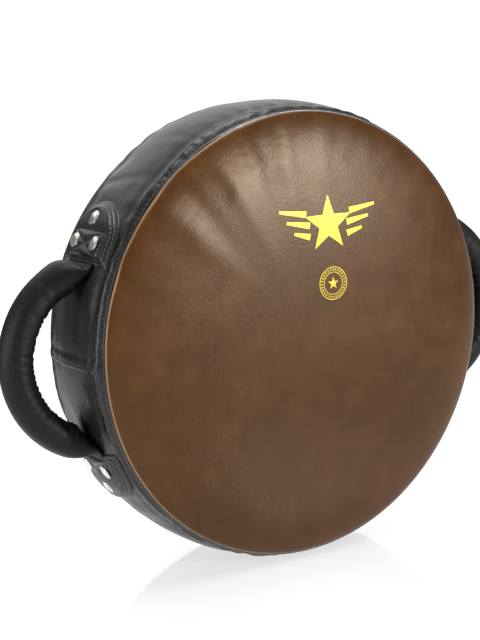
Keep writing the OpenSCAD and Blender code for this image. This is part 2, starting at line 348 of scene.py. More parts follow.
def face_skin(name, height, sign, seed, replaced):
    """One domed face, and its points. The disc grid carries rho and the angle; the cloth's short
    waves are capped and added to the plain dome with the folds."""
    x, z = disc_grid(FACE_CELLS)
    rho, angle = np.clip(np.hypot(x, z).ravel(), 0, 1), np.arctan2(z, x).ravel()
    dome = dome_point(rho, angle, height, sign)
    faces = grid_faces(FACE_CELLS + 1, FACE_CELLS + 1)
    if sign < 0:
        faces = faces[:, ::-1]
    start = dome_point(rho, angle, height - 3 * MM, sign)
    rest = blown(name + "_sheet", start, faces, rho > 0.985, 0.006, 2.0, 4.0)
    lean = 0.35 * rho ** 6
    normal = np.stack([lean * np.cos(angle), np.full_like(angle, sign), lean * np.sin(angle)], axis=1)
    moved = np.clip(((rest - start) * normal).sum(axis=1), -2 * MM, 5 * MM)
    bins = np.clip((rho * 40).astype(int), 0, 40)
    ring_mean = np.bincount(bins, moved, 41) / np.maximum(np.bincount(bins, minlength=41), 1)
    waves = np.clip(moved - ring_mean[bins], -1.2 * MM, 1.2 * MM)
    pull = 0.25 + 0.75 * np.exp(-(turned(angle, PULLED) / 0.8) ** 2)
    edge = np.clip((1 - rho) / 0.03, 0, 1)
    relief = ((0.28 * waves + rim_folds(angle, rho, seed, 46, 0.9 * MM)) * pull + pull_folds(angle, rho)) * edge
    verts = dome + normal * relief[:, None]
    ob = mesh_piece(name, verts, faces, hide_brown)
    wall = ob.modifiers.new("thickness", "SOLIDIFY")
    wall.thickness, wall.offset = HIDE, -1
    smooth = ob.modifiers.new("smooth", "SUBSURF")
    smooth.levels = smooth.render_levels = 1
    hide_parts(replaced)
    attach(ob, "shield")
    return verts


front_dome = -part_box("front_panel")[0][1] - HALF_W
rear_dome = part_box("rear_panel")[1][1] - HALF_W
front_verts = face_skin("striking_face", front_dome, -1, 3, "front_panel")
face_skin("rear_face", rear_dome, 1, 5, "rear_panel")


# ---------------------------------------------------------------- side band
# Two strips of black finished cowhide, sewn to the faces and to each other: the upper strip laps
# over the lower at mid height on both sides, with one row of thread. The strips are eased round
# the foam, so they pucker at both seams and crease beside the handle patches.

RIM_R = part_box("upper_side_band")[1][0]
BULGE = RIM_R - PAD_R
CURVE_R = (HALF_W ** 2 + BULGE ** 2) / (2 * BULGE)
CURVE_C = RIM_R - CURVE_R
BAND_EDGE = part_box("upper_side_band")[1][1]
BAND_COLS, BAND_ROWS = 900, 60
LAP, BAND_HIDE = 7 * MM, 1.4 * MM


def band_point(angle, y, lift):
    """The band's barrel: one arc of radius CURVE_R in depth, carried round the rim and flat on the floor."""
    r = CURVE_C + np.sqrt((CURVE_R + lift) ** 2 - y * y)
    z = np.maximum(CENTRE[2] + r * np.sin(angle), np.minimum(lift, 0) + 0.05 * MM)
    return np.stack([r * np.cos(angle), y + 0 * angle, z], axis=-1)


def creases(angle, y, seed, count, depth, length, toward):
    """Slanting furrows that start at one seam and die out across the band: each is a Gaussian
    valley round the rim whose place drifts with the distance from the seam."""
    draw = np.random.default_rng(seed)
    out = np.zeros_like(angle)
    from_seam = (BAND_EDGE - toward * y) / (2 * BAND_EDGE)
    for _ in range(count):
        at, width = draw.uniform(0, 2 * np.pi), draw.uniform(3, 9) * MM / RIM_R
        reach, slant, size = draw.uniform(0.4, 1) * length, draw.uniform(-0.12, 0.12), draw.uniform(0.25, 1)
        gap = turned(angle, at + slant * from_seam) / (width * (1 + 2 * from_seam))
        out -= size * np.exp(-gap ** 2) * np.exp(-(from_seam / reach) ** 2)
    return depth * out


def soft_noise(angle, y, seed, waves, scale):
    """Slow swell: cosines in the angle and the depth, with random phases; about one high."""
    draw = np.random.default_rng(seed)
    out = np.zeros(np.broadcast(angle, y).shape)
    for _ in range(waves):
        m, n = draw.integers(2, 3 + 9 * scale), draw.uniform(-40, 40)
        out += np.cos(m * angle + n * y + draw.uniform(0, 2 * np.pi)) / waves ** 0.5
    return out


# The patches press on the band, and these furrows run out from their round ends and corners.
PATCH_ENDS = np.radians([38.5, 141.5, 218.5, 321.5])


def patch_creases(angle, y):
    """Long shallow furrows beside each patch, fanning from its round end towards both seams."""
    draw = np.random.default_rng(23)
    out = np.zeros(np.broadcast(angle, y).shape)
    for end in PATCH_ENDS:
        away = np.sign(np.sin(end)) * np.sign(np.cos(end))
        near = np.exp(-(turned(angle, end + away * 0.12) / 0.16) ** 2)
        for _ in range(5):
            start, slope = end + away * np.radians(draw.uniform(-3, 13)), draw.uniform(-1.5, 1.5)
            width, size = draw.uniform(3.5, 8) * MM / RIM_R, draw.uniform(0.3, 0.9)
            out -= size * np.exp(-(turned(angle, start + slope * y) / width) ** 2) * near
    return out


# The cloth for the band is a coarse ring, RING_COLS points round by RING_ROWS across.
RING_COLS, RING_ROWS = 440, 25
ring_a, ring_y = (g.ravel() for g in np.meshgrid(
    np.linspace(0, 2 * np.pi, RING_COLS, endpoint=False),
    np.linspace(-BAND_EDGE, BAND_EDGE, RING_ROWS), indexing="ij"))
ring_start = band_point(ring_a, ring_y, -2 * MM)
ring_faces = grid_faces(RING_COLS, RING_ROWS, wrap_rows=True)[:, ::-1]
ring_rest = blown("band_sheet", ring_start, ring_faces, np.abs(ring_y) > 0.99 * BAND_EDGE, 0.008, 2.0, 3.0)
ring_out = np.stack([np.cos(ring_a), 0 * ring_a, np.sin(ring_a)], axis=1)
ring_relief = ((ring_rest - ring_start) * ring_out).sum(axis=1).reshape(RING_COLS, RING_ROWS)
ring_relief = np.clip(ring_relief - ring_relief.mean(axis=0), -1.5 * MM, 1.5 * MM)


def read_grid(grid, row, col):
    """Reads a grid at fractional rows and columns by straight interpolation both ways."""
    rows, cols = grid.shape
    i, j = np.floor(row).astype(int), np.minimum(np.floor(col).astype(int), cols - 2)
    s, t = row - i, col - j
    i, i1 = i % rows, (i + 1) % rows
    near, far = (grid[i, k] * (1 - s) + grid[i1, k] * s for k in (j, j + 1))
    return near * (1 - t) + far * t


def cloth_relief(angle, y):
    """The cloth's puckers, read off its ring of points."""
    across = np.clip((y + BAND_EDGE) / (2 * BAND_EDGE), 0, 1)
    return read_grid(ring_relief, (angle / (2 * np.pi) * RING_COLS) % RING_COLS, across * (RING_ROWS - 1))


FULL_AT = math.radians(112)          # the foam stands fullest here


def band_relief(angle, y):
    """All that lifts or dents the band's leather: puckers, creases, swell, and the roll into each seam."""
    from_edge = BAND_EDGE - np.abs(y)
    edge = np.clip(from_edge / (4.5 * MM), 0, 1)
    uneven = 0.75 + 0.25 * np.sin(5 * angle + 1.3) * np.sin(11 * angle)
    roll = 2.0 * MM * uneven * np.exp(-((from_edge - 6.5 * MM) / (2.8 * MM)) ** 2)
    roll -= 2.2 * MM * (1 - edge) ** 2.2 + 0.7 * MM * np.exp(-((from_edge - 15 * MM) / (4.5 * MM)) ** 2)
    lift = creases(angle, y, 31, 110, 0.55 * MM, 0.16, -1) + creases(angle, y, 37, 90, 0.8 * MM, 0.16, 1)
    lift += creases(angle, y, 41, 16, 1.1 * MM, 0.9, -1) + 0.9 * MM * patch_creases(angle, y)
    lift += 0.9 * MM + 0.35 * MM * soft_noise(angle, y, 43, 14, 2) + 0.6 * cloth_relief(angle, y)
    full = 3.2 * MM * np.exp(-(turned(angle, FULL_AT) / 0.26) ** 2) * np.clip(from_edge / (10 * MM), 0, 1)
    return np.clip(lift, -2.3 * MM, 1.8 * MM) * np.clip(edge * 1.2, 0, 1) + roll + full


def closed_skin(outer, inner, rows, cols):
    """Points and faces of a closed skin: the outer grid, the inner one, and a wall round the edge."""
    n = rows * cols
    faces = grid_faces(rows, cols)
    idx = np.arange(n).reshape(rows, cols)
    loop = np.concatenate([idx[:, 0], idx[-1, 1:], idx[-2::-1, -1], idx[0, -2::-1]])
    wall = np.stack([loop[:-1], loop[1:], loop[1:] + n, loop[:-1] + n], axis=1)
    return np.concatenate([outer, inner]), np.concatenate([faces, faces[:, ::-1] + n, wall])


hide_black = hide_material("black_finished_cowhide", "#0e0e0f", "#131314", "#19191b", 0.12, 0.5, 0.4)


def side_strip(name, first, last, lapped, replaced):
    """One strip of the band from angle first to last. A lapped strip runs LAP past both ends, over
    the other, and steps up by its thickness there."""
    over = (LAP if lapped else 2 * MM) / RIM_R
    t = np.linspace(-1, 1, BAND_ROWS)
    across = BAND_EDGE * np.sign(t) * (1 - (1 - np.abs(t)) ** 1.25)
    angle, y = (g.ravel() for g in np.meshgrid(
        np.linspace(first - over, last + over, BAND_COLS), across, indexing="ij"))
    lift = band_relief(angle, y)
    if lapped:
        past = RIM_R * np.minimum(angle - angle[0], angle[-1] - angle)
        lift += 1.7 * MM / (1 + np.exp((past - 1.55 * LAP) / (1.1 * MM)))
        lift -= 0.5 * MM * np.exp(-(past / (0.7 * MM)) ** 2)
    outer = band_point(angle, y, lift)
    inward = -np.stack([np.cos(angle), 0 * angle, np.sin(angle)], axis=1)
    inward[outer[:, 2] < 0.4 * MM] = (0, 0, 1)
    ob = mesh_piece(name, *closed_skin(outer, outer + inward * BAND_HIDE, BAND_COLS, BAND_ROWS), hide_black)
    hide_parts(replaced)
    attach(ob, "shield")


side_strip("lower_side_strip", np.pi, 2 * np.pi, False, "lower_side_band")
side_strip("upper_side_strip", 0.0, np.pi, True, "upper_side_band")


# ---------------------------------------------------------------- seams
# Each face is closed to the band by a folded welt with a row of waxed thread beside it, on the
# band's side. The laps at mid height have their own short rows. The thread is bonded polyester
# 0.8 mm thick, seven stitches to 40 mm.

STITCH, GAP, THREAD = 3.6 * MM, 1.9 * MM, 0.8 * MM
STITCH_RINGS, STITCH_SIDES = 6, 7


def stitch_row(name, line, up, mat, length=STITCH, gap=GAP, thick=THREAD):
    """Thread along a line of points: each stitch is a round bar bowed up by sin(pi t), its ends sunk in
    the leather. line and up are (n, 3), up is the leather's outward normal at each point."""
    along = np.concatenate([[0], np.cumsum(np.linalg.norm(np.diff(line, axis=0), axis=1))])
    count = max(1, int(along[-1] / (length + gap)))
    pitch = along[-1] / count
    t = np.linspace(0, 1, STITCH_RINGS)
    at = np.arange(count)[:, None] * pitch + (0.5 * (pitch - length) + t * length)[None, :]
    mid = np.stack([np.interp(at, along, line[:, k]) for k in range(3)], axis=-1)
    rise = np.stack([np.interp(at, along, up[:, k]) for k in range(3)], axis=-1)
    rise /= np.linalg.norm(rise, axis=-1, keepdims=True)
    run = np.gradient(mid, axis=1)
    run /= np.linalg.norm(run, axis=-1, keepdims=True)
    side = np.cross(run, rise)
    mid = mid + rise * (thick * (0.75 * np.sin(np.pi * t) - 0.45))[None, :, None]
    turn = (np.arange(STITCH_SIDES) * 2 * np.pi / STITCH_SIDES)[None, None, :, None]
    fat = thick / 2 * np.array([0.55, 0.95, 1, 1, 0.95, 0.55])[None, :, None, None]
    verts = mid[:, :, None, :] + fat * (np.cos(turn) * side[:, :, None, :] + np.sin(turn) * rise[:, :, None, :])
    one = grid_faces(STITCH_RINGS, STITCH_SIDES, wrap_cols=True)[:, ::-1]
    first, last = np.arange(STITCH_SIDES), np.arange(STITCH_SIDES)[::-1] + (STITCH_RINGS - 1) * STITCH_SIDES
    faces = []
    for base in np.arange(count) * STITCH_RINGS * STITCH_SIDES:
        faces += [*(one + base).tolist(), (first + base).tolist(), (last + base).tolist()]
    ob = mesh_piece(name, verts.reshape(-1, 3), faces, mat)
    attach(ob, "shield")


def thread_material(name, dark, light):
    """Waxed bonded thread: a three-ply twist, drawn at 2 mm so that it shows, with a slight sheen."""
    mat = new_material(name)
    place = node(mat, "ShaderNodeTexCoord").outputs["Object"]
    ply = node(mat, "ShaderNodeTexWave", [("Vector", place)], Scale=160.0, Distortion=3.0, Detail=1.0)
    tone = node(mat, "ShaderNodeValToRGB", [("Fac", ply.outputs["Fac"])])
    tone.color_ramp.elements[0].color, tone.color_ramp.elements[1].color = linear(dark), linear(light)
    lift = node(mat, "ShaderNodeBump", [("Height", ply.outputs["Fac"])], Strength=0.6, Distance=0.3 * MM)
    bsdf = node(
        mat, "ShaderNodeBsdfPrincipled", [("Base Color", tone.outputs[0]), ("Normal", lift.outputs[0])],
        Roughness=0.55, Sheen_Weight=0.3)
    node(mat, "ShaderNodeOutputMaterial", [("Surface", bsdf.outputs[0])])
    return mat


thread_tan = thread_material("tan_waxed_thread", "#2f2922", "#74634a")
thread_black = thread_material("black_waxed_thread", "#101012", "#2e2e31")
thread_grey = thread_material("grey_waxed_thread", "#4c4d48", "#8b8c82")

seam_angle = np.linspace(0, 2 * np.pi, 2400)
for side_name, sign in (("front", -1), ("rear", 1)):
    seam_y = np.full_like(seam_angle, sign * (BAND_EDGE - 1.8 * MM))
    seam_line = band_point(seam_angle, seam_y, band_relief(seam_angle, seam_y))
    seam_up = np.stack([np.cos(seam_angle), 0 * seam_angle + sign * 0.3, np.sin(seam_angle)], axis=1)
    stitch_row(f"{side_name}_seam_thread", seam_line, seam_up, thread_tan)

lap_y = np.linspace(-BAND_EDGE + 6 * MM, BAND_EDGE - 6 * MM, 200)
for side_name, mid_angle, sign in (("right", 0.0, 1), ("left", np.pi, -1)):
    lap_a = np.full_like(lap_y, mid_angle - sign * (LAP - 2.6 * MM) / RIM_R)
    lap_line = band_point(lap_a, lap_y, band_relief(lap_a, lap_y) + 1.7 * MM)
    lap_up = np.stack([np.cos(lap_a), 0 * lap_a, np.sin(lap_a)], axis=1)
    stitch_row(f"{side_name}_lap_thread", lap_line, lap_up, thread_black, thick=0.9 * MM)

welt_black = hide_material("black_welt_leather", "#0d0d0f", "#141416", "#1c1c1f", 0.4, 0.2, 0.34)
for name in ("front_welt", "rear_welt"):
    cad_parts[name].data.materials[0] = welt_black


# ---------------------------------------------------------------- handle patches
# A D of black cowhide over each handle end, padded by the strap tab under it. It is sewn down by a
# double row round the edge and by a box with a cross in it, then riveted. The thread pulls the
# leather into pillows, and the cut edge shows grey.

ARCH_R, ARCH_DEPTH, BEND_R = 93 * MM, 35 * MM, 10 * MM     # the handle's arch and its bends
STRAP_LINE = RIM_R + 1.8 * MM
ARCH_C = RIM_R - ARCH_DEPTH
BEND_X = ((STRAP_LINE + BEND_R) ** 2 - (ARCH_R + BEND_R) ** 2 + ARCH_C ** 2) / (2 * ARCH_C)
BEND_Z = math.sqrt((STRAP_LINE + BEND_R) ** 2 - BEND_X ** 2)
RIM_ANGLE, ARCH_ANGLE = math.atan2(BEND_Z, BEND_X), math.atan2(BEND_Z, BEND_X - ARCH_C)
EDGE_ANGLE = RIM_ANGLE + 3 * MM / RIM_R
PATCH_W, PATCH_SIDE = 47 * MM, 22 * MM                     # half width, and length of the straight sides
PATCH_LEN = PATCH_SIDE + PATCH_W
HUB = 27 * MM                                              # the D is star-shaped about this point
BOX_NEAR, BOX_FAR, BOX_W = 6.5 * MM, 34 * MM, 32 * MM       # the box of stitching
BORDER_ROWS = (3.5 * MM, 6.8 * MM)                         # the double row, in from the outline
RAW_EDGE, TAB = 2.6 * MM, 3.3 * MM                         # thickness of the patch's leather and of the tab
CAP_R, CAP_RISE, CAP_SEAT = 8 * MM, 2.5 * MM, 6.0 * MM      # rivet cap, its dome, and the face it sits on


def patch_reach(turn):
    """Distance from the hub to the D's outline in each direction: the nearest of its straight edge,
    its two sides and its round end."""
    c, s = np.cos(turn), np.sin(turn)
    edge = np.where(c < -1e-6, HUB / np.maximum(-c, 1e-6), 1.0)
    side = np.where(np.abs(s) > 1e-6, PATCH_W / np.maximum(np.abs(s), 1e-6), 1.0)
    off = HUB - PATCH_SIDE
    round_end = -off * c + np.sqrt(np.maximum((off * c) ** 2 + PATCH_W ** 2 - off ** 2, 0))
    past_side = HUB + np.minimum(side, 1.0) * c > PATCH_SIDE
    return np.minimum(edge, np.where(past_side, round_end, side))


def patch_inset(s, w):
    """Distance in from the D's outline, nought outside it: from the straight edge and the sides,
    and past the sides from the round end."""
    round_end = np.where(s > PATCH_SIDE, PATCH_W - np.hypot(s - PATCH_SIDE, w), PATCH_LEN)
    return np.maximum(np.minimum.reduce([s, PATCH_W - np.abs(w), round_end]), 0)


def to_segment(s, w, a, b):
    """Distance from points (s, w) to the segment a-b."""
    d = np.subtract(b, a)
    t = np.clip(((s - a[0]) * d[0] + (w - a[1]) * d[1]) / (d @ d), 0, 1)
    return np.hypot(s - a[0] - t * d[0], w - a[1] - t * d[1])


BOX_CORNERS = [(BOX_NEAR, -BOX_W), (BOX_NEAR, BOX_W), (BOX_FAR, BOX_W), (BOX_FAR, -BOX_W)]
SEWN_LINES = [(BOX_CORNERS[i], BOX_CORNERS[(i + 1) % 4]) for i in range(4)]
SEWN_LINES += [(BOX_CORNERS[0], BOX_CORNERS[2]), (BOX_CORNERS[1], BOX_CORNERS[3])]
RIVET_PLACES = [(21 * MM, 21 * MM), (21 * MM, -21 * MM), (47 * MM, 0.0)]


def patch_height(s, w, inset):
    """Height of the patch's face over the band: the leather, the tab under it, pillows between the
    sewn lines, a groove along each row of thread, and the edge rounded over."""
    inside = np.clip(inset / (11 * MM), 0, 1)
    mouth = np.clip(s / (10 * MM), 0, 1)
    over_mouth = (1 - mouth) ** 2 * (np.abs(w) < 33 * MM) * np.clip(inset / (2 * MM), 0, 1)
    rise = TAB * np.maximum(inside * inside * (3 - 2 * inside), over_mouth)
    near = np.min([to_segment(s, w, a, b) for a, b in SEWN_LINES], axis=0)
    sewn = np.minimum.reduce([near, *(np.abs(inset - row) for row in BORDER_ROWS)])
    pillow = 2.1 * MM * (1 - np.exp(-(near / (5.0 * MM)) ** 2)) * inside
    seat = np.max([np.exp(-(np.hypot(s - p, w - q) / (9.0 * MM)) ** 8) for p, q in RIVET_PLACES], axis=0)
    groove = 0.9 * MM * np.exp(-(sewn / (1.0 * MM)) ** 2)
    free = RAW_EDGE + rise + pillow - groove - 0.5 * MM
    return np.minimum(free * (1 - seat) + (RAW_EDGE + TAB) * seat, 7.6 * MM)


def on_patch(s, w, lift, left, low):
    """From a length and a width on the patch to a point over the band."""
    angle = EDGE_ANGLE + s / RIM_R
    r = CURVE_C + np.sqrt((CURVE_R + lift) ** 2 - w * w)
    x = r * np.cos(angle) * (-1 if left else 1)
    return np.stack([x, -w + 0 * angle, CENTRE[2] + r * np.sin(angle) * (-1 if low else 1)], axis=-1)


patch_black = hide_material("black_patch_leather", "#0d0d0e", "#131315", "#1a1a1c", 0.15, 0.5, 0.38)
cut_edge = node(patch_black, "ShaderNodeAttribute", attribute_name="cut_edge")
painted(patch_black, cut_edge.outputs["Fac"], "#6f706c")

TURNS, RINGS = 216, 46
CORNERS = [                                                # label, on the left, below mid height
    ("left_upper", True, False), ("left_lower", True, True),
    ("right_upper", False, False), ("right_lower", False, True)]

# The patch's leather goes from the hub out, round the cut edge, and back under to the hub. rho is
# the part of the way to the outline, and drop is how far down the edge a ring lies.
patch_turn = np.linspace(0, 2 * np.pi, TURNS, endpoint=False)
patch_rho = np.concatenate([np.linspace(0, 1, RINGS) ** 0.8, np.ones(4), np.linspace(0.97, 0.0, 6)])
patch_drop = np.concatenate([np.zeros(RINGS), np.linspace(0.15, 1, 4), np.ones(6)])[:, None]
patch_out = patch_rho[:, None] * patch_reach(patch_turn)[None]
patch_s, patch_w = HUB + patch_out * np.cos(patch_turn), patch_out * np.sin(patch_turn)
from_outline = patch_inset(patch_s, patch_w)
patch_top = patch_height(patch_s, patch_w, from_outline) - 0.5 * MM * np.exp(-(from_outline / (0.8 * MM)) ** 2)
patch_lift = (patch_top * (1 - patch_drop) + 0.1 * MM * patch_drop).ravel()
proud = 1 + 0.006 * np.sin(np.pi * patch_drop)
patch_s, patch_w = (HUB + (patch_s - HUB) * proud).ravel(), (patch_w * proud).ravel()

# Its threads, as lengths and widths on the patch: the box with its cross, then the double border.
sewn_t = np.linspace(0, 1, 120)
thread_lines = [
    (s0 + (s1 - s0) * sewn_t, w0 + (w1 - w0) * sewn_t, thread_black) for (s0, w0), (s1, w1) in SEWN_LINES]
border_turn = np.linspace(-0.62 * np.pi, 0.62 * np.pi, 400)
for inward in BORDER_ROWS:
    out = patch_reach(border_turn) - inward
    thread_lines.append((HUB + out * np.cos(border_turn), out * np.sin(border_turn), thread_grey))

for label, left, low in CORNERS:
    faces = grid_faces(len(patch_rho), TURNS, wrap_cols=True)
    if left == low:
        faces = faces[:, ::-1]
    verts = on_patch(patch_s, patch_w, patch_lift, left, low)
    patch = mesh_piece(label + "_patch_leather", verts, faces, patch_black)
    cut = patch.data.attributes.new("cut_edge", "FLOAT", "POINT")
    cut.data.foreach_set("value", np.repeat(patch_drop * (patch_drop > 0.1) * 0.9, TURNS).astype(np.float32))
    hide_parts(label + "_patch")
    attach(patch, "shield")
    for k, (s, w, thread) in enumerate(thread_lines):
        if np.min([np.hypot(s - p, w - q) for p, q in RIVET_PLACES]) > CAP_R + 0.6 * MM:
            height = patch_height(s, w, patch_inset(s, w))
            line = on_patch(s, w, height, left, low)
            up = on_patch(s, w, height + 1 * MM, left, low) - line
            stitch_row(f"{label}_patch_thread_{k}", line, up, thread, length=3.2 * MM, gap=1.4 * MM)


# ---------------------------------------------------------------- rivets
# Tubular rivets with domed nickel-plated caps, a rolled rim round each, and tails peened over burrs
# inside. The plate is bright, with fine handling scratches and a little grime.

nickel = new_material("polished_nickel_plate")
nickel_place = node(nickel, "ShaderNodeTexCoord").outputs["Object"]
grime = node(nickel, "ShaderNodeTexNoise", [("Vector", nickel_place)], Scale=160.0, Detail=2.0)
nickel_tone = node(nickel, "ShaderNodeValToRGB", [("Fac", grime.outputs["Fac"])])
nickel_stops = nickel_tone.color_ramp.elements
nickel_stops[0].position, nickel_stops[0].color = 0.3, linear("#cfcabf")
nickel_stops[1].position, nickel_stops[1].color = 0.56, linear("#f3f0e8")
scratched = node(nickel, "ShaderNodeBump", [("Height", grime.outputs["Fac"])], Strength=0.12, Distance=0.2 * MM)
nickel_bsdf = node(
    nickel, "ShaderNodeBsdfPrincipled",
    [("Base Color", nickel_tone.outputs[0]), ("Normal", scratched.outputs[0])], Metallic=1.0, Roughness=0.22)
node(nickel, "ShaderNodeOutputMaterial", [("Surface", nickel_bsdf.outputs[0])])

CAP_RINGS, CAP_TURNS, CAP_RIM = 26, 40, 0.7 * MM


def cap_profile(t):
    """From the crown (t = 0) over the dome, round the rolled rim and back under (t = 1): radius and height."""
    turn = np.clip((t - 0.72) / 0.28, 0, 1) * np.pi
    crown = np.clip(t / 0.72, 0, 1)
    on_dome = t < 0.72
    r = np.where(on_dome, crown * (CAP_R - CAP_RIM), CAP_R - CAP_RIM + CAP_RIM * np.sin(turn))
    dome = 0.9 * MM + (CAP_RISE - 0.9 * MM) * (1 - crown ** 2.4)
    h = np.where(on_dome, dome, 0.2 * MM + CAP_RIM / 2 * (1 + np.cos(turn)))
    return np.where(t >= 1, 0, r), h


cap_r, cap_h = (v[:, None, None] for v in cap_profile(np.linspace(0, 1, CAP_RINGS)))
cap_turn = np.linspace(0, 2 * np.pi, CAP_TURNS, endpoint=False)[None, :, None]
cap_faces = grid_faces(CAP_RINGS, CAP_TURNS, wrap_cols=True)[:, ::-1]
for label, left, low in CORNERS:
    verts = []
    for s, w in RIVET_PLACES:
        lengths, heights = s + np.array([0, 1 * MM, 0]), CAP_SEAT + np.array([0, 0, 1 * MM])
        seat, beside, above = on_patch(lengths, np.full(3, w), heights, left, low)
        out = (above - seat) / np.linalg.norm(above - seat)
        side = beside - seat - ((beside - seat) @ out) * out
        side /= np.linalg.norm(side)
        around = np.cos(cap_turn) * side + np.sin(cap_turn) * np.cross(out, side)
        verts.append((seat + cap_h * out + cap_r * around).reshape(-1, 3))
    faces = np.concatenate([cap_faces + k * CAP_RINGS * CAP_TURNS for k in range(len(RIVET_PLACES))])
    caps = mesh_piece(label + "_rivet_caps", np.concatenate(verts), faces, nickel)
    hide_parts(label + "_rivets")
    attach(caps, "shield")

foam_mat = hide_material("closed_cell_foam", "#b4b1a8", "#c4c1b8", "#d2cfc6", 0.0, 0.6, 0.8)
webbing_mat = thread_material("black_woven_webbing", "#151517", "#34343a")
for name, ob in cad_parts.items():
    if name.endswith(("rivets", "burrs")):
        ob.data.materials[0] = nickel
    elif name.endswith("foam"):
        ob.data.materials[0] = foam_mat
    elif name.endswith(("backing", "strap")):
        ob.data.materials[0] = webbing_mat


# ---------------------------------------------------------------- handles
# A roll of foam on a strap, wrapped in black cowhide and closed by a seam along the inside of the
# arch, where the leather gathers. The roll thins and flattens before it goes under each patch.

SLEEVE_R, TAB_HALF, MOUTH_HALF, TAB_THICK = 18 * MM, 25 * MM, 28 * MM, 1.6 * MM
TAB_UNDER = 34 * MM                                        # the tab runs this far under each patch
HANDLE_RINGS, HANDLE_SIDES = 300, 96

glove_black = hide_material(
    "soft_black_glove_leather", "#0a0a0b", "#0e0e0f", "#131315", 0.0, 0.5, 0.5, Specular_IOR_Level=0.28)


def arc_points(cx, cz, r, a0, a1, n):
    """n points of an arc about (cx, cz) from angle a0 to a1."""
    a = np.linspace(a0, a1, n)
    return np.stack([cx + r * np.cos(a), cz + r * np.sin(a)], axis=1)


# The strap's line: along the rim under the upper patch, round a bend, out along the arch, and the
# same again to the lower patch.
under = TAB_UNDER / RIM_R
route = np.concatenate([
    arc_points(0, 0, STRAP_LINE, EDGE_ANGLE + under, RIM_ANGLE, 60)[:-1],
    arc_points(BEND_X, BEND_Z, BEND_R, np.pi + RIM_ANGLE, np.pi + ARCH_ANGLE, 30)[:-1],
    arc_points(ARCH_C, 0, ARCH_R, ARCH_ANGLE, -ARCH_ANGLE, 200)[:-1],
    arc_points(BEND_X, -BEND_Z, BEND_R, np.pi - ARCH_ANGLE, np.pi - RIM_ANGLE, 30)[:-1],
    arc_points(0, 0, STRAP_LINE, -RIM_ANGLE, -EDGE_ANGLE - under, 60)])
route_len = np.concatenate([[0], np.cumsum(np.linalg.norm(np.diff(route, axis=0), axis=1))])
along_route = np.linspace(0, route_len[-1], HANDLE_RINGS)
mid = np.stack([np.interp(along_route, route_len, route[:, k]) for k in range(2)], axis=1)
tangent = np.gradient(mid, axis=0)
tangent /= np.linalg.norm(tangent, axis=1, keepdims=True)
outward = np.stack([-tangent[:, 1], tangent[:, 0]], axis=1)
outward *= np.sign(outward[HANDLE_RINGS // 2, 0])

# Each ring is a superellipse about that line. Its thickness swells from the tab's to the roll's, its
# width narrows from the mouth's to the roll's, and its inner side stops short of the band.
from_mouth = np.minimum(along_route, route_len[-1] - along_route) - TAB_UNDER - 3 * MM
swell = 1 - (1 - np.clip((from_mouth + 2 * MM) / (30 * MM), 0, 1)) ** 2.2
narrow = np.clip(from_mouth / (46 * MM), 0, 1)
narrow = narrow * narrow * (3 - 2 * narrow)
thick = TAB_THICK + (SLEEVE_R - TAB_THICK) * swell
room = np.hypot(mid[:, 0], mid[:, 1]) - RIM_R - 0.2 * MM
thin = np.minimum(thick, np.maximum(room, TAB_THICK))
wide = MOUTH_HALF + (SLEEVE_R - MOUTH_HALF) * narrow
wide = np.minimum(wide, np.where(from_mouth < -3 * MM, TAB_HALF, wide))
power = 2 / (2.5 - 0.5 * narrow)[:, None]
sleeve_turn = np.linspace(0, 2 * np.pi, HANDLE_SIDES, endpoint=False)[None]
cosine, sine = np.cos(sleeve_turn), np.sin(sleeve_turn)
depth = np.where(cosine > 0, thick[:, None], thin[:, None])
out_part = np.sign(cosine) * np.abs(cosine) ** power * depth
side_part = np.sign(sine) * np.abs(sine) ** power * wide[:, None]

# Gathers: furrows across the inner seam, 7 mm apart and uneven, that fade towards the outside;
# the seam itself is a shallow groove with a raised lip.
draw = np.random.default_rng(71)
inner = turned(sleeve_turn, np.pi)
along = along_route[:, None]
gathers = np.zeros((HANDLE_RINGS, HANDLE_SIDES))
place_at = 40 * MM
while place_at < route_len[-1] - 40 * MM:
    width, size = draw.uniform(1.3, 2.6) * MM, draw.uniform(0.5, 1.0)
    spread, slant = draw.uniform(0.6, 1.5), draw.uniform(-4, 4) * MM
    gap = along - place_at - slant * inner
    gathers -= size * np.exp(-(gap / width) ** 2) * np.exp(-(np.abs(inner) / spread) ** 1.7)
    place_at += draw.uniform(5.0, 9.0) * MM
ridge = 0.35 * np.cos(5 * sleeve_turn + 14 * along / route_len[-1])
ridge *= 0.4 + 0.6 * np.abs(np.cos(sleeve_turn / 2))
seam_groove = -1.3 * np.exp(-(inner / 0.07) ** 2) + 0.5 * np.exp(-((np.abs(inner) - 0.19) / 0.09) ** 2)
relief = (1.9 * gathers + ridge + seam_groove) * MM * np.clip(from_mouth / (30 * MM), 0, 1)[:, None]
factor = 1 + relief / np.maximum(np.hypot(out_part, side_part), 1 * MM)
out_part, side_part = out_part * factor, side_part * factor

ring_xz = mid[:, None, :] + outward[:, None, :] * out_part[:, :, None]
first = np.arange(HANDLE_SIDES)
last = first + (HANDLE_RINGS - 1) * HANDLE_SIDES
sleeve_faces = grid_faces(HANDLE_RINGS, HANDLE_SIDES, wrap_cols=True).tolist()
sleeve_faces += [first[::-1].tolist(), last.tolist()]
for label, sign in (("left", -1), ("right", 1)):
    verts = np.stack([sign * ring_xz[:, :, 0], side_part, CENTRE[2] + ring_xz[:, :, 1]], axis=-1).reshape(-1, 3)
    faces = [face[::-1] for face in sleeve_faces] if sign > 0 else sleeve_faces
    sleeve = mesh_piece(f"{label}_handle_leather", verts, faces, glove_black)
    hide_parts(f"{label}_handle_sleeve", f"{label}_handle_strap")
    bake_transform(sleeve)


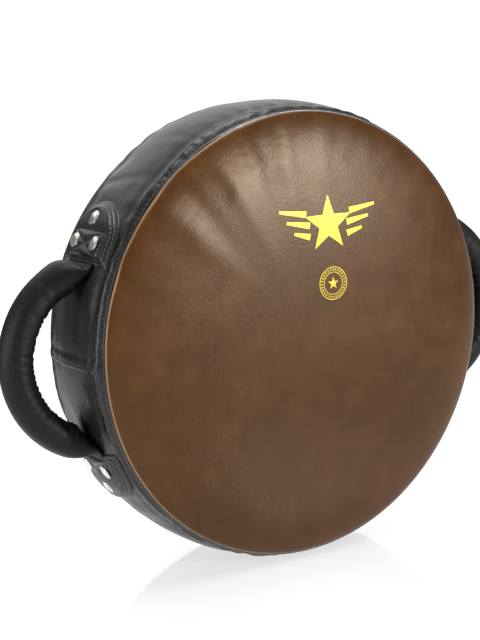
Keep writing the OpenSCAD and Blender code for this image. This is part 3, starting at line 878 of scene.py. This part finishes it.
# ---------------------------------------------------------------- gold print
# Hot-foil print on the striking face: a plain star between two wings of bars, and a ringed stamp
# with a small star under it. The foil is 0.2 mm thick and lies on the dome.

FOIL = 0.2 * MM
gold = new_material("gold_foil_print")
gold_place = node(gold, "ShaderNodeTexCoord").outputs["Object"]
rub = node(gold, "ShaderNodeTexNoise", [("Vector", gold_place)], Scale=900.0, Detail=4.0)
gold_tone = node(gold, "ShaderNodeValToRGB", [("Fac", rub.outputs["Fac"])])
gold_stops = gold_tone.color_ramp.elements
gold_stops[0].position, gold_stops[0].color = 0.3, linear("#b99a22")
gold_stops[1].position, gold_stops[1].color = 0.55, linear("#e6cd3a")
gold_bsdf = node(
    gold, "ShaderNodeBsdfPrincipled", [("Base Color", gold_tone.outputs[0])], Metallic=0.35, Roughness=0.38)
node(gold, "ShaderNodeOutputMaterial", [("Surface", gold_bsdf.outputs[0])])


def on_face(x, z, lift):
    """A point over the striking face: its depth is read from the skin's square grid of points, by
    inverting the dome's radius and then the disc map."""
    r = np.hypot(x, z)
    rho = (1 - np.arccos(np.clip((r / PAD_R) ** 1.5, 0, 1)) / (np.pi / 2)) ** (1 / 1.5)
    scale = np.where(r > 1e-9, rho / np.maximum(r, 1e-9), 0)
    p, q, k = x * scale, z * scale, 2 * math.sqrt(2)
    u, v = (0.5 * (np.sqrt(np.maximum(2 + e + k * d, 0)) - np.sqrt(np.maximum(2 + e - k * d, 0)))
            for d, e in ((p, p * p - q * q), (q, q * q - p * p)))
    depth = front_verts[:, 1].reshape(FACE_CELLS + 1, FACE_CELLS + 1)
    y = read_grid(depth, (u + 1) / 2 * FACE_CELLS, (v + 1) / 2 * FACE_CELLS)
    return np.stack([x, y - lift, CENTRE[2] + z], axis=-1)


def foil_piece(name, patches):
    """Joins bits of foil, each a grid of x and z, into one piece on the shield. Each is a closed
    skin from just over the leather to the foil's thickness above that."""
    verts, faces, n = [], [], 0
    for x, z in patches:
        top, base = (on_face(x.ravel(), z.ravel(), lift) for lift in (0.12 * MM + FOIL, 0.02 * MM))
        v, f = closed_skin(top, base, *x.shape)
        verts.append(v)
        faces.append(f + n)
        n += len(v)
    ob = mesh_piece(name, np.concatenate(verts), np.concatenate(faces), gold, smooth=False)
    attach(ob, "shield")


def star(cx, cz, outer, inner, points=5):
    """A star as kites: from the centre, over each point, with straight sides."""
    centre, half = np.array([cx, cz]), np.pi / points
    u, v = (g[..., None] for g in np.meshgrid(np.linspace(0, 1, 9), np.linspace(0, 1, 9), indexing="ij"))
    bits = []
    for k in range(points):
        a = np.pi / 2 + 2 * half * k
        tip, left, right = (centre + r * np.array([np.cos(b), np.sin(b)])
                            for r, b in ((outer, a), (inner, a + half), (inner, a - half)))
        p = (1 - u) * (1 - v) * centre + u * (1 - v) * left + u * v * tip + (1 - u) * v * right
        bits.append((p[..., 0], p[..., 1]))
    return bits


def bar(x0, z0, x1, z1, w0, w1):
    """A bar from one point to another that tapers from width w0 to w1."""
    d = np.array([x1 - x0, z1 - z0])
    n = np.array([-d[1], d[0]]) / np.hypot(*d)
    u, v = np.meshgrid(np.linspace(0, 1, 15), np.linspace(0.5, -0.5, 5), indexing="ij")
    width = w0 + (w1 - w0) * u
    return x0 + d[0] * u + n[0] * width * v, z0 + d[1] * u + n[1] * width * v


def ring(cx, cz, radius, width):
    """A flat ring, in four quarters so that each is a plain grid."""
    bits = []
    for k in range(4):
        a, r = np.meshgrid(
            np.linspace(k, k + 1, 25) * np.pi / 2, radius + width * np.array([-0.5, 0.5]), indexing="ij")
        bits.append((cx + r * np.cos(a), cz + r * np.sin(a)))
    return bits


EMBLEM_X, EMBLEM_Z = 22 * MM, 121 * MM
emblem = star(EMBLEM_X, EMBLEM_Z, 31 * MM, 12.5 * MM)
for sign in (-1, 1):
    for k, near in enumerate((28 * MM, 24 * MM, 24 * MM)):
        far, z = (62 - 9 * k) * MM, EMBLEM_Z + 12 * (1 - k) * MM
        emblem.append(bar(EMBLEM_X + sign * near, z, EMBLEM_X + sign * far, z + 5 * MM, 7 * MM, 3 * MM))
foil_piece("gold_star_emblem", emblem)

STAMP_X, STAMP_Z, TEETH = 26 * MM, 57 * MM, 28
stamp = ring(STAMP_X, STAMP_Z, 17.5 * MM, 0.9 * MM) + ring(STAMP_X, STAMP_Z, 12 * MM, 0.7 * MM)
stamp += star(STAMP_X, STAMP_Z, 7 * MM, 2.8 * MM)
for a in 2 * np.pi * np.arange(TEETH) / TEETH:
    (x0, z0), (x1, z1) = ((STAMP_X + r * np.cos(a), STAMP_Z + r * np.sin(a)) for r in (13.8 * MM, 15.9 * MM))
    stamp.append(bar(x0, z0, x1, z1, 1.3 * MM, 1.3 * MM))
foil_piece("gold_ring_stamp", stamp)
